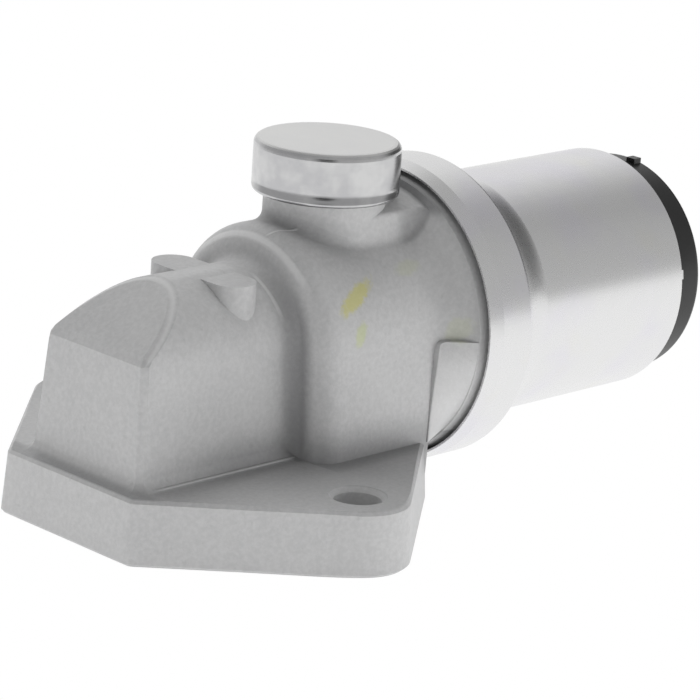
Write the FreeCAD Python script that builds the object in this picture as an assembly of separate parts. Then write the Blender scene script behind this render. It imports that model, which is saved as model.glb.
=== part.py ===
import FreeCAD, Part
import math
import os

V = FreeCAD.Vector

# Frame: origin on the mounting plane midway between the two bolt holes, +Z up from the flange,
# +X along the valve axis towards the connector end, bolt holes spread along Y. Millimetres.

# Mounting flange
flange_thick = 9.1
bolt_spacing = 56.0
bolt_hole_r = 3.3
bolt_chamfer = 0.75
lug_wall = 4.35
flange_front_run = 3.15
flange_front_side = 3.0
flange_rear_run = 0.2
flange_rear_side = 0.2
flange_lean = 0.5
flange_corner_r = 1.6
flange_edge = 0.5
flange_foot_bevel = 0.4

# Valve axis and the arched nose in front of the barrel
axis_z = 23.0
nose_r = 10.2
nose_lift = 1.0
nose_draft = 4.0
nose_end_x = -24.15
nose_end_lean = 3.4
facet_foot_rise = 3.6
facet_angle = 35.0
nose_edge = 0.8
nose_root_r = 1.8

# Flat-topped pad across the crown of the nose
pad_setback = 7.9
pad_y = 0.3
pad_r = 3.2
pad_half_length = 9.1
pad_drop = 0.3

# Barrel: arched block on the flange, round neck behind it, flared out to the end collar
barrel_r = 16.0
barrel_draft = 3.8
barrel_front_x = 4.0
barrel_front_round = 3.6
block_length = 22.2
block_rear_draft = 5.7
flare_lead = 1.7
flare_length = 5.7
flare_rise = 4.3
parting_step = 0.5
neck_run = 2.8
neck_rise = 4.85
collar_thick = 3.3
collar_rise = 5.4
collar_bevel = 0.5

# Boss on the barrel, its web to the flare and the head that carries the cap
boss_setback = 8.1
boss_r = 8.6
boss_wall = 3.0
boss_height = 4.0
boss_head_step = 0.8
boss_head_height = 5.3
boss_root_r = 1.7
web_rise = 3.4
web_edge_r = 0.8

# Closing cap, pressed cup rolled in under the boss head, with its flat seal
cap_wall = 0.8
cap_side_gap = 0.15
cap_roll_gap = 0.1
cap_rim_drop = 0.65
cap_crown_r = 1.0
cap_rim_r = 0.55
cap_seal_thick = 0.8
cap_seal_width = 3.0

# Chambers, ports and their seals
nose_wall = 3.2
front_chamber_run = 11.15
front_port_r = 4.5
rear_port_r = 5.0
port_seal_side = 2.0
port_seal_land = 1.4
port_seal_slack = 0.15
ring_chamber_wall = 3.4
ring_chamber_run = 3.5
ring_chamber_length = 11.0
rear_chamber_wall = 3.0

# Metering sleeve pressed into the barrel
sleeve_run = 2.5
sleeve_length = 23.5
sleeve_ring_depth = 2.2
sleeve_wall = 2.4
window_run = 5.5
window_length = 5.0
window_width = 7.5
window_count = 4

# Moving set: stem, hollow spool, retaining rings and armature
stroke = 4.5
stem_r = 2.0
stem_front_run = 7.8
stem_rear_run = 1.4
spool_lap = 1.0
spool_length = 12.0
spool_wall = 1.2
spool_hub_wall = 1.6
spool_hub_length = 4.5
spool_spokes = 4
spool_spoke_thick = 1.2
clip_thick = 0.8
clip_wall = 1.4
clip_groove = 0.35
clip_mouth = 3.2
armature_run = 1.3
armature_length = 17.4
armature_r = 6.5
armature_bevel = 0.5
pocket_depth = 6.0
pocket_wall = 2.3

# Radial clearances: turning or sliding, fixed in place, and free air round the stem
running_gap = 0.04
slide_gap = 0.08
seat_gap = 0.02
stem_air_gap = 0.6

# Bushes
bush_wall = 2.0
front_bush_length = 6.0
rear_bush_setback = 3.85

# Solenoid: can, yokes, tube, bobbin, winding, fixed core
can_r = 18.0
can_wall = 1.0
can_length = 40.15
can_rear_lip = 0.55
can_flange_wall = 0.6
can_collar_gap = 0.1
can_lip_run = 2.2
can_lip_drop = 0.6
can_lip_edge = 0.3
can_lip_overlap = 1.9
can_shoulder_r = 0.7
can_neck_flat = 0.1
stake_count = 4
stake_width = 1.4
stake_height = 0.6
stake_thick = 0.7
stake_inset = 0.25
stake_angle = 81.0
front_yoke_thick = 2.2
rear_yoke_thick = 2.0
guide_tube_wall = 0.5
bobbin_wall = 1.2
bobbin_cheek = 1.3
bobbin_gap = 0.3
winding_gap = 1.2
core_spigot_step = 1.5
shim_thick = 0.4
shim_rim_gap = 0.1
can_seal_width = 0.7

# Return spring
spring_wire_r = 0.35
spring_stem_gap = 0.85
spring_turns = 6.0
spring_sides = 6

# Connector moulding and its blades
plug_rim_wall = 1.4
plug_side_gap = 0.05
plug_length = 5.9
plug_edge_r = 0.8
plug_flange_thick = 0.65
hood_length = 6.15
hood_half_y = 7.2
hood_half_z = 5.0
hood_corner_r = 2.2
hood_wall = 1.3
socket_depth = 11.0
nub_y = -2.8
nub_width = 1.6
nub_length = 1.5
nub_height = 0.45
latch_width = 2.2
latch_height = 1.0
latch_length = 3.0
latch_setback = 1.0
blade_pitch = 5.4
blade_thick = 0.8
blade_width = 2.4
blade_root = 1.5
blade_setback = 2.3
blade_bevel = 0.5

# Turned edges smaller than a few millimetres are built of short straight steps this close to the arc
round_step = 0.02

# Largest gap closed along the borders of blended faces
heal_tolerance = 0.0001

# Places along the valve axis that follow
lug_r = bolt_hole_r + lug_wall
pad_x = barrel_front_x - pad_setback
block_rear_x = barrel_front_x + block_length
flange_front_x = nose_end_x - flange_front_run
flange_rear_x = block_rear_x + flange_rear_run
flare_start_x = block_rear_x - flare_lead
flare_end_x = flare_start_x + flare_length
collar_front_x = flare_end_x + neck_run
collar_rear_x = collar_front_x + collar_thick
boss_x = block_rear_x - boss_setback
front_chamber_x = nose_end_x + front_chamber_run
front_bush_x = front_chamber_x - front_bush_length
front_port_x = front_chamber_x + front_port_r
sleeve_x0 = barrel_front_x + sleeve_run
sleeve_x1 = sleeve_x0 + sleeve_length
ring_chamber_x0 = sleeve_x0 + ring_chamber_run
ring_chamber_x1 = ring_chamber_x0 + ring_chamber_length
rear_port_x = (ring_chamber_x0 + ring_chamber_x1) / 2
window_x0 = sleeve_x0 + window_run
spool_x0 = window_x0 - spool_lap
spool_x1 = spool_x0 + spool_length
hub_x0 = (spool_x0 + spool_x1 - spool_hub_length) / 2
clip_places = (hub_x0 - clip_thick, hub_x0 + spool_hub_length)
stem_front_x = front_chamber_x - stem_front_run
armature_x0 = collar_rear_x + armature_run
armature_x1 = armature_x0 + armature_length
core_x0 = armature_x1 + stroke + shim_thick
rear_bush_x = core_x0 + pocket_depth
front_yoke_x1 = collar_rear_x + front_yoke_thick
can_rear_x = collar_rear_x + can_length
can_lip_x = collar_front_x - can_lip_overlap
plug_seat_x = can_rear_x - can_rear_lip
plug_front_x = plug_seat_x - plug_flange_thick
rear_yoke_x = plug_front_x - rear_yoke_thick
rear_bush_end_x = plug_front_x - rear_bush_setback
stem_rear_x = rear_bush_end_x - stem_rear_run
plug_rear_x = can_rear_x + plug_length
hood_x = plug_rear_x + hood_length
socket_floor_x = hood_x - socket_depth
blade_root_x = socket_floor_x - blade_root
blade_tip_x = hood_x - blade_setback

# Radii, half widths and heights that follow
flange_front_half = nose_r + flange_front_side
flange_rear_half = barrel_r - flange_rear_side
nose_axis_z = axis_z + nose_lift
facet_foot_z = axis_z + facet_foot_rise
pad_top_z = nose_axis_z + nose_r - pad_drop
flare_end_r = barrel_r + flare_rise
neck_end_r = barrel_r + neck_rise
collar_r = barrel_r + collar_rise
web_top_r = barrel_r + web_rise
boss_bore_r = boss_r - boss_wall
boss_head_r = boss_r + boss_head_step
boss_neck_z = axis_z + barrel_r + boss_height
boss_head_z = boss_neck_z + boss_head_height
cap_rim_z = boss_neck_z - cap_rim_drop
cap_top_z = boss_head_z + cap_seal_thick + cap_wall
front_chamber_r = nose_r - nose_wall
ring_chamber_r = barrel_r - ring_chamber_wall
rear_chamber_r = barrel_r - rear_chamber_wall
sleeve_outer_r = ring_chamber_r - sleeve_ring_depth
sleeve_bore_r = sleeve_outer_r - sleeve_wall
spool_r = sleeve_bore_r - running_gap
bush_outer_r = stem_r + bush_wall
pocket_r = armature_r - pocket_wall
tube_inner_r = armature_r + slide_gap
tube_outer_r = tube_inner_r + guide_tube_wall
bobbin_bore_r = tube_outer_r + seat_gap
bobbin_barrel_r = bobbin_bore_r + bobbin_wall
core_spigot_r = armature_r - core_spigot_step
can_inner_r = can_r - can_wall
can_flange_r = collar_r + can_collar_gap + can_flange_wall
can_lip_r = can_flange_r - can_lip_drop
winding_r = can_inner_r - winding_gap
plug_disc_r = can_r - plug_rim_wall
spring_mean_r = stem_r + spring_stem_gap + spring_wire_r


def arched_prism(radius, centre_z, foot_z, draft, x0, x1):
    """Arch section on drafted sides, run along X."""
    lean = math.radians(draft)
    shoulder_y = radius * math.cos(lean)
    shoulder_z = centre_z + radius * math.sin(lean)
    foot_y = shoulder_y + (shoulder_z - foot_z) * math.tan(lean)
    right_foot = V(x0, -foot_y, foot_z)
    right_shoulder = V(x0, -shoulder_y, shoulder_z)
    left_shoulder = V(x0, shoulder_y, shoulder_z)
    left_foot = V(x0, foot_y, foot_z)
    crown = V(x0, 0, centre_z + radius)
    edges = [
        Part.LineSegment(right_foot, right_shoulder).toShape(),
        Part.Arc(right_shoulder, crown, left_shoulder).toShape(),
        Part.LineSegment(left_shoulder, left_foot).toShape(),
        Part.LineSegment(left_foot, right_foot).toShape(),
    ]
    return Part.Face(Part.Wire(edges)).extrude(V(x1 - x0, 0, 0))


def side_profile_prism(points, half_width):
    """Polygon in the side view, (x, z), run across the full width."""
    corners = [V(x, -half_width, z) for x, z in points]
    return Part.Face(Part.makePolygon(corners + corners[:1])).extrude(V(0, 2 * half_width, 0))


def axis_wire(points):
    """Closed outline in (x, radius) on the valve axis; a four-number entry is an arc, middle point first."""
    here = V(points[0][0], 0, axis_z + points[0][1])
    edges = []
    for entry in points[1:] + points[:1]:
        there = V(entry[-2], 0, axis_z + entry[-1])
        if len(entry) == 4:
            middle = V(entry[0], 0, axis_z + entry[1])
            edges.append(Part.Arc(here, middle, there).toShape())
        else:
            edges.append(Part.LineSegment(here, there).toShape())
        here = there
    return Part.Wire(edges)


def turned(points, angle=360.0):
    """Body turned about the valve axis; 180 gives the upper half and -180 the lower."""
    return Part.Face(axis_wire(points)).revolve(V(0, 0, axis_z), V(1, 0, 0), angle)


def rod(x0, x1, radius):
    return Part.makeCylinder(radius, x1 - x0, V(x0, 0, axis_z), V(1, 0, 0))


def ring(x0, x1, inner_r, outer_r):
    return rod(x0, x1, outer_r).cut(rod(x0 - 1, x1 + 1, inner_r))


def post(x, y, radius, z0, z1):
    return Part.makeCylinder(radius, z1 - z0, V(x, y, z0))


def upright_ring(x, inner_r, outer_r, z0, z1):
    return post(x, 0, outer_r, z0, z1).cut(post(x, 0, inner_r, z0 - 1, z1 + 1))


def rounded(cx, cy, radius, from_deg, to_deg):
    """Points of a turned edge's rounding about (cx, cy), in steps within round_step of the arc."""
    widest = 2 * math.degrees(math.acos(1 - round_step / radius))
    steps = max(2, math.ceil(abs(to_deg - from_deg) / widest))
    angles = [math.radians(from_deg + (to_deg - from_deg) * i / steps) for i in range(steps + 1)]
    return [(cx + radius * math.cos(a), cy + radius * math.sin(a)) for a in angles]


def about_axis(shape, angle):
    turned_copy = shape.copy()
    turned_copy.rotate(V(0, 0, axis_z), V(1, 0, 0), angle)
    return turned_copy


def middle_of(edge):
    return edge.valueAt((edge.FirstParameter + edge.LastParameter) / 2)


def tangent_angle(corner, centre, radius, side):
    """Angle on a circle at which the line from a corner touches it."""
    dx = corner[0] - centre[0]
    dy = corner[1] - centre[1]
    return math.atan2(dy, dx) + side * math.acos(radius / math.hypot(dx, dy))


def flange_outline(z, inset):
    """Six-sided outline with a rounded lug at each bolt hole."""
    radius = lug_r - inset
    front_x = flange_front_x + inset
    rear_x = flange_rear_x - inset
    front_half = flange_front_half - inset
    rear_half = flange_rear_half - inset
    edges = []
    ends = []
    for side in (-1, 1):
        centre = (0.0, side * bolt_spacing / 2)
        first = tangent_angle((front_x, side * front_half), centre, radius, -side)
        last = tangent_angle((rear_x, side * rear_half), centre, radius, side)
        tip = side * math.pi / 2
        on_lug = [
            V(centre[0] + radius * math.cos(a), centre[1] + radius * math.sin(a), z)
            for a in (first, tip, last)
        ]
        front = V(front_x, side * front_half, z)
        rear = V(rear_x, side * rear_half, z)
        edges.append(Part.LineSegment(front, on_lug[0]).toShape())
        edges.append(Part.Arc(*on_lug).toShape())
        edges.append(Part.LineSegment(on_lug[2], rear).toShape())
        ends.append((front, rear))
    edges.append(Part.LineSegment(ends[0][0], ends[1][0]).toShape())
    edges.append(Part.LineSegment(ends[0][1], ends[1][1]).toShape())
    return Part.Wire(Part.__sortEdges__(edges))


def flange_plate():
    plate = Part.makeLoft([flange_outline(0, 0), flange_outline(flange_thick, flange_lean)], True, True)
    corners = [
        e
        for e in plate.Edges
        if abs(e.CenterOfMass.z - flange_thick / 2) < 0.1
        and abs(e.CenterOfMass.y) < max(flange_front_half, flange_rear_half) + 1
    ]
    plate = plate.makeFillet(flange_corner_r, corners)
    top = [e for e in plate.Edges if e.BoundBox.ZMin > flange_thick - 0.01]
    plate = plate.makeChamfer(flange_edge, top)
    foot = [e for e in plate.Edges if e.BoundBox.ZMax < 0.01]
    return plate.makeChamfer(flange_foot_bevel, foot)


def is_end_rim(edge, end_top_x):
    """Edges round the end face and round the facet, away from the flat foot."""
    box = edge.BoundBox
    upright = box.XMax < end_top_x + 0.01
    on_facet = box.ZMin > facet_foot_z - 0.01
    return box.XMax < pad_x and box.ZMax > flange_thick and (upright or on_facet)


def nose_hood():
    """Arched hood whose end leans back and whose crown is cut by one sloping facet."""
    foot_z = flange_thick / 2
    lean = math.tan(math.radians(nose_end_lean))
    end_foot_x = nose_end_x - (flange_thick - foot_z) * lean
    end_top_x = nose_end_x + (facet_foot_z - flange_thick) * lean
    above_z = nose_axis_z + 2 * nose_r
    facet_top_x = end_top_x + (above_z - facet_foot_z) / math.tan(math.radians(facet_angle))
    back_x = barrel_front_x + 2 * barrel_front_round
    hood = arched_prism(nose_r, nose_axis_z, foot_z, nose_draft, nose_end_x - nose_r, back_x)
    side = side_profile_prism(
        [
            (end_foot_x, foot_z),
            (end_top_x, facet_foot_z),
            (facet_top_x, above_z),
            (facet_top_x + back_x - nose_end_x, above_z),
            (facet_top_x + back_x - nose_end_x, foot_z),
        ],
        nose_r * 2,
    )
    hood = hood.common(side)
    return hood.makeChamfer(nose_edge, [e for e in hood.Edges if is_end_rim(e, end_top_x)])


def crown_pad():
    """Flat-topped pad with round ends lying across the nose."""
    end_y = pad_half_length - pad_r
    height = pad_top_z - axis_z
    middle = Part.makeBox(2 * pad_r, 2 * end_y, height, V(pad_x - pad_r, pad_y - end_y, axis_z))
    ends = [post(pad_x, pad_y + side * end_y, pad_r, axis_z, pad_top_z) for side in (-1, 1)]
    return middle.multiFuse(ends).removeSplitter()


def barrel_block():
    """Arched block under the barrel, its front edge rounded and its rear face drafted below the axis."""
    foot_z = flange_thick / 2
    above_z = axis_z + 2 * barrel_r
    block = arched_prism(barrel_r, axis_z, foot_z, barrel_draft, barrel_front_x, flare_end_x)
    front = [
        e
        for e in block.Edges
        if e.BoundBox.XMax < barrel_front_x + 0.01 and e.BoundBox.ZMax > foot_z + 1
    ]
    block = block.makeFillet(barrel_front_round, front)
    foot_rear_x = block_rear_x - (axis_z - foot_z) * math.tan(math.radians(block_rear_draft))
    side = side_profile_prism(
        [
            (barrel_front_x - 1, foot_z),
            (foot_rear_x, foot_z),
            (block_rear_x, axis_z),
            (block_rear_x, above_z),
            (barrel_front_x - 1, above_z),
        ],
        barrel_r * 2,
    )
    return block.common(side)


def neck_points(step):
    """Round neck behind the block: straight, then a hollow flare up to the collar."""
    bend = (flare_length * flare_length + flare_rise * flare_rise) / (2 * flare_rise)
    half = math.atan2(flare_rise, flare_length)
    start_r = barrel_r - step
    middle = (flare_start_x + bend * math.sin(half), start_r + bend * (1 - math.cos(half)))
    return [
        (boss_x, 0),
        (boss_x, start_r),
        (flare_start_x, start_r),
        (*middle, flare_end_x, flare_end_r - step),
        (collar_front_x, neck_end_r - step),
        (collar_rear_x, neck_end_r - step),
        (collar_rear_x, 0),
    ]


def round_neck():
    upper = turned(neck_points(0.0), 180.0)
    lower = turned(neck_points(parting_step), -180.0)
    collar = turned(
        [
            (collar_front_x, 0),
            (collar_front_x, collar_r - collar_bevel),
            (collar_front_x + collar_bevel, collar_r),
            (collar_rear_x, collar_r),
            (collar_rear_x, 0),
        ]
    )
    return upper.multiFuse([lower, collar])


def boss_tower():
    """Boss with the web that ties it to the flare, and the head that the cap is rolled under."""
    tower = post(boss_x, 0, boss_r, axis_z, boss_neck_z)
    web = Part.makeBox(flare_end_x - boss_x, 2 * boss_r, boss_neck_z - axis_z, V(boss_x, -boss_r, axis_z))
    web = web.common(rod(boss_x - 1, flare_end_x + 1, web_top_r))
    shoulders = [
        e
        for e in web.Edges
        if e.BoundBox.ZMin > axis_z + boss_r and e.BoundBox.XLength > boss_r
    ]
    web = web.makeFillet(web_edge_r, shoulders)
    head_cone = Part.makeCone(boss_r, boss_head_r, boss_head_step, V(boss_x, 0, boss_neck_z))
    head = post(boss_x, 0, boss_head_r, boss_neck_z + boss_head_step, boss_head_z)
    return tower.multiFuse([web, head_cone, head])


def is_boss_root(edge):
    """Line where the boss and its web stand on the barrel."""
    m = middle_of(edge)
    on_barrel = abs(math.hypot(m.y, m.z - axis_z) - barrel_r) < 0.01
    on_boss = abs(math.hypot(m.x - boss_x, m.y) - boss_r) < 0.01
    on_web = m.x > boss_x and abs(abs(m.y) - boss_r) < 0.01
    return on_barrel and (on_boss or on_web)


def nose_half_at_flange():
    lean = math.radians(nose_draft)
    side_height = nose_axis_z + nose_r * math.sin(lean) - flange_thick
    return nose_r * math.cos(lean) + side_height * math.tan(lean)


def is_nose_root(edge):
    """Lines where the nose stands on the flange and where it runs into the barrel's front."""
    m = middle_of(edge)
    along_foot = nose_end_x - nose_root_r < m.x < barrel_front_x - 0.01 and abs(m.z - flange_thick) < 0.01
    up_barrel = abs(m.x - barrel_front_x) < 0.01 and m.z > flange_thick + 1
    on_nose = m.z < nose_axis_z + nose_r + 0.01 and abs(m.y) < nose_half_at_flange() + 0.01
    return on_nose and (along_foot or up_barrel)


def port_cutters():
    """Two ports up from the mounting face, each with a seal groove round it."""
    cuts = []
    for x, radius in ((front_port_x, front_port_r), (rear_port_x, rear_port_r)):
        inner = radius + port_seal_land
        outer = inner + port_seal_side + 2 * port_seal_slack
        cuts.append(post(x, 0, radius, -1, axis_z))
        cuts.append(upright_ring(x, inner, outer, -1, port_seal_side))
    return cuts


def chamber_cutters():
    return [
        rod(front_bush_x, front_chamber_x + 1, bush_outer_r),
        rod(stem_front_x - seat_gap, front_chamber_x, stem_r + stem_air_gap),
        rod(front_chamber_x, sleeve_x0 + 1, front_chamber_r),
        rod(sleeve_x0, sleeve_x1 + 1, sleeve_outer_r + seat_gap),
        rod(ring_chamber_x0, ring_chamber_x1, ring_chamber_r),
        rod(sleeve_x1, collar_rear_x + 1, rear_chamber_r),
        post(boss_x, 0, boss_bore_r, axis_z, boss_head_z + 1),
    ]


def bolt_cutters():
    cuts = []
    for side in (-1, 1):
        y = side * bolt_spacing / 2
        mouth = bolt_hole_r + bolt_chamfer
        cuts.append(post(0, y, bolt_hole_r, -1, flange_thick + 1))
        cuts.append(Part.makeCone(bolt_hole_r, mouth, bolt_chamfer, V(0, y, flange_thick - bolt_chamfer)))
        cuts.append(post(0, y, mouth, flange_thick, flange_thick + 1))
    return cuts


def valve_body():
    outside = flange_plate().multiFuse([nose_hood(), crown_pad(), barrel_block(), round_neck(), boss_tower()])
    outside = outside.removeSplitter()
    outside = outside.makeFillet(boss_root_r, [e for e in outside.Edges if is_boss_root(e)])
    outside = outside.makeFillet(nose_root_r, [e for e in outside.Edges if is_nose_root(e)])
    outside.fix(heal_tolerance, heal_tolerance, 10 * heal_tolerance)
    return outside.cut(Part.makeCompound(port_cutters() + chamber_cutters() + bolt_cutters()))


def port_seal(x, port_r):
    """Square-cut rubber ring lying in its groove, flush with the mounting face."""
    inner = port_r + port_seal_land + port_seal_slack
    return upright_ring(x, inner, inner + port_seal_side, 0, port_seal_side)


def metering_sleeve():
    sleeve = ring(sleeve_x0, sleeve_x1, sleeve_bore_r, sleeve_outer_r)
    corner = V(window_x0, -window_width / 2, axis_z)
    for i in range(window_count):
        slot = Part.makeBox(window_length, window_width, 2 * sleeve_outer_r, corner)
        sleeve = sleeve.cut(about_axis(slot, 360.0 * (i + 0.5) / window_count))
    return sleeve


def metering_spool():
    """Hollow spool: thin rim for metering, hub on the stem, open between the spokes."""
    rim = ring(spool_x0, spool_x1, spool_r - spool_wall, spool_r)
    hub = rod(hub_x0, hub_x0 + spool_hub_length, stem_r + spool_hub_wall)
    corner = V(hub_x0, -spool_spoke_thick / 2, axis_z)
    arms = []
    for i in range(spool_spokes):
        arm = Part.makeBox(spool_hub_length, spool_spoke_thick, spool_r - spool_wall / 2, corner)
        arms.append(about_axis(arm, 360.0 * i / spool_spokes))
    body = rim.multiFuse([hub] + arms).removeSplitter()
    return body.cut(rod(spool_x0, spool_x1, stem_r + seat_gap))


def valve_stem():
    stem = rod(stem_front_x, stem_rear_x, stem_r)
    tips = [e for e in stem.Edges if e.BoundBox.XLength < 0.01]
    stem = stem.makeChamfer(stem_r / 5, tips)
    for x in clip_places:
        stem = stem.cut(ring(x, x + clip_thick, stem_r - clip_groove, stem_r + 1))
    return stem


def spool_clips():
    """Two open retaining rings in the stem's grooves, one at each end of the spool's hub."""
    outer = stem_r + clip_wall
    clips = []
    for x in clip_places:
        clip = ring(x, x + clip_thick, stem_r - clip_groove + seat_gap, outer)
        mouth = Part.makeBox(clip_thick, clip_mouth, 2 * outer, V(x, -clip_mouth / 2, axis_z - 2 * outer))
        clips.append(clip.cut(mouth))
    return Part.makeCompound(clips)


def bush(x0, x1):
    return ring(x0, x1, stem_r + running_gap, bush_outer_r - seat_gap)


def solenoid_can():
    """Drawn steel can: crimped flange over the collar, rounded shoulder, hollow neck, tube, staked rear lip."""
    wall_x = front_yoke_x1 + can_wall
    lip_full_x = can_lip_x + can_lip_run
    shoulder_x = wall_x - can_shoulder_r
    neck_top_r = can_flange_r - can_shoulder_r - can_neck_flat
    neck_r = neck_top_r - can_r
    can = turned(
        [
            (can_lip_x, can_lip_r),
            (lip_full_x, can_flange_r),
            *rounded(shoulder_x, can_flange_r - can_shoulder_r, can_shoulder_r, 90, 0),
            *rounded(wall_x + neck_r, neck_top_r, neck_r, 180, 270),
            (can_rear_x, can_r),
            (can_rear_x, plug_disc_r + plug_side_gap),
            (plug_seat_x, plug_disc_r + plug_side_gap),
            (plug_seat_x, can_inner_r),
            (front_yoke_x1, can_inner_r),
            (front_yoke_x1, can_flange_r - can_flange_wall),
            (lip_full_x, can_flange_r - can_flange_wall),
            (can_lip_x, can_lip_r - can_lip_edge),
        ]
    )
    stakes = []
    for i in range(stake_count):
        stake = Part.makeBox(
            stake_height + can_rear_lip,
            stake_width,
            stake_thick,
            V(plug_seat_x, -stake_width / 2, axis_z + can_r - stake_thick - stake_inset),
        )
        stakes.append(about_axis(stake, stake_angle + 360.0 * i / stake_count))
    return can.multiFuse(stakes).removeSplitter()


def can_seal():
    """Rubber ring against the front of the collar, under the crimped lip."""
    front_x = collar_front_x - can_seal_width
    lip_slope = (can_flange_r - can_flange_wall - can_lip_r + can_lip_edge) / can_lip_run
    lip_inner = can_lip_r - can_lip_edge + lip_slope * (front_x - can_lip_x)
    return ring(front_x, collar_front_x, neck_end_r + seat_gap, lip_inner - seat_gap)


def front_yoke():
    outer = can_flange_r - can_flange_wall - 2 * seat_gap
    return ring(collar_rear_x, front_yoke_x1, tube_outer_r + seat_gap, outer)


def rear_yoke():
    return ring(rear_yoke_x, plug_front_x, core_spigot_r + seat_gap, can_inner_r - 2 * seat_gap)


def guide_tube():
    return ring(collar_rear_x, rear_yoke_x, tube_inner_r, tube_outer_r)


def coil_bobbin():
    """Spool-shaped moulding with an end cheek at each side of the winding."""
    cheek = can_inner_r - bobbin_gap
    return turned(
        [
            (front_yoke_x1, bobbin_bore_r),
            (front_yoke_x1, cheek),
            (front_yoke_x1 + bobbin_cheek, cheek),
            (front_yoke_x1 + bobbin_cheek, bobbin_barrel_r),
            (rear_yoke_x - bobbin_cheek, bobbin_barrel_r),
            (rear_yoke_x - bobbin_cheek, cheek),
            (rear_yoke_x, cheek),
            (rear_yoke_x, bobbin_bore_r),
        ]
    )


def coil_winding():
    return ring(
        front_yoke_x1 + bobbin_cheek,
        rear_yoke_x - bobbin_cheek,
        bobbin_barrel_r + seat_gap,
        winding_r,
    )


def pole_core():
    """Fixed iron core: spring pocket in its face, bush seat behind it, spigot through the rear yoke."""
    core = rod(core_x0, rear_yoke_x, armature_r).fuse(rod(rear_yoke_x, plug_front_x, core_spigot_r))
    core = core.cut(rod(core_x0 - 1, rear_bush_x, pocket_r))
    core = core.cut(rod(core_x0, rear_bush_end_x, bush_outer_r))
    return core.cut(rod(core_x0, plug_front_x + 1, stem_r + stem_air_gap))


def armature():
    """Sliding iron plunger fixed on the stem, with a pocket for the spring in its rear face."""
    body = rod(armature_x0, armature_x1, armature_r)
    rims = [e for e in body.Edges if e.BoundBox.XLength < 0.01]
    body = body.makeChamfer(armature_bevel, rims)
    body = body.cut(rod(armature_x1 - pocket_depth, armature_x1 + 1, pocket_r))
    return body.cut(rod(armature_x0 - 1, armature_x1, stem_r + seat_gap))


def core_shim():
    return ring(core_x0 - shim_thick, core_x0, pocket_r + shim_rim_gap, armature_r)


def return_spring():
    """Wire coiled from the armature's pocket to the fixed core's pocket, its section a many-sided round."""
    x0 = armature_x1 - pocket_depth + spring_wire_r + seat_gap
    x1 = rear_bush_x - spring_wire_r - seat_gap
    helix = Part.makeHelix((x1 - x0) / spring_turns, x1 - x0, spring_mean_r)
    angles = [2 * math.pi * (i + 0.5) / spring_sides for i in range(spring_sides)]
    corners = [
        V(spring_mean_r + spring_wire_r * math.cos(a), 0, spring_wire_r * math.sin(a)) for a in angles
    ]
    wire = Part.Wire(helix).makePipeShell([Part.makePolygon(corners + corners[:1])], True, True)
    wire.rotate(V(0, 0, 0), V(0, 1, 0), 90)
    wire.translate(V(x0, 0, axis_z))
    return wire


def boss_cap():
    """Pressed cup over the boss head, its rim rolled in under the head."""
    inner = boss_head_r + cap_side_gap
    outer = inner + cap_wall
    rim_inner = boss_r + cap_roll_gap
    profile = [
        (0, cap_top_z),
        *rounded(outer - cap_crown_r, cap_top_z - cap_crown_r, cap_crown_r, 90, 0),
        *rounded(outer - cap_rim_r, cap_rim_z + cap_rim_r, cap_rim_r, 0, -90),
        (rim_inner, cap_rim_z),
        (rim_inner, boss_neck_z),
        (inner, boss_neck_z + inner - rim_inner),
        (inner, cap_top_z - cap_wall),
        (0, cap_top_z - cap_wall),
    ]
    corners = [V(boss_x + r, 0, z) for r, z in profile]
    face = Part.Face(Part.makePolygon(corners + corners[:1]))
    return face.revolve(V(boss_x, 0, 0), V(0, 0, 1), 360)


def cap_seal():
    top_z = boss_head_z + cap_seal_thick
    return upright_ring(boss_x, boss_head_r - cap_seal_width, boss_head_r, boss_head_z, top_z)


def rounded_bar(x0, x1, half_y, half_z, corner_r):
    """Bar along the valve axis with rounded long edges."""
    bar = Part.makeBox(x1 - x0, 2 * half_y, 2 * half_z, V(x0, -half_y, axis_z - half_z))
    long_edges = [e for e in bar.Edges if e.BoundBox.XLength > (x1 - x0) / 2]
    return bar.makeFillet(corner_r, long_edges)


def blade(side):
    corner = V(blade_root_x, (side * blade_pitch - blade_thick) / 2, axis_z - blade_width / 2)
    body = Part.makeBox(blade_tip_x - blade_root_x, blade_thick, blade_width, corner)
    tip = [
        e
        for e in body.Edges
        if e.BoundBox.XMin > blade_tip_x - 0.01 and e.BoundBox.YLength > blade_thick / 2
    ]
    return body.makeChamfer(blade_bevel, tip)


def connector_body():
    """Black moulding closing the can, with the oval hood of the two-blade socket."""
    disc = turned(
        [
            (plug_front_x, 0),
            (plug_front_x, can_inner_r - seat_gap),
            (plug_seat_x, can_inner_r - seat_gap),
            (plug_seat_x, plug_disc_r),
            *rounded(plug_rear_x - plug_edge_r, plug_disc_r - plug_edge_r, plug_edge_r, 90, 0),
            (plug_rear_x, 0),
        ]
    )
    hood = rounded_bar(can_rear_x, hood_x, hood_half_y, hood_half_z, hood_corner_r)
    nub_corner = V(
        plug_rear_x - plug_edge_r - nub_length,
        nub_y - nub_width / 2,
        axis_z + plug_disc_r - nub_height,
    )
    nub = Part.makeBox(nub_length, nub_width, 2 * nub_height, nub_corner)
    latch_corner = V(
        hood_x - latch_setback - latch_length,
        -latch_width / 2,
        axis_z + hood_half_z - latch_height,
    )
    latch = Part.makeBox(latch_length, latch_width, 2 * latch_height, latch_corner)
    body = disc.multiFuse([hood, nub, latch]).removeSplitter()
    socket = rounded_bar(
        socket_floor_x,
        hood_x + 1,
        hood_half_y - hood_wall,
        hood_half_z - hood_wall,
        hood_corner_r - hood_wall / 2,
    )
    return body.cut(Part.makeCompound([socket, blade(-1), blade(1)]))


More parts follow.
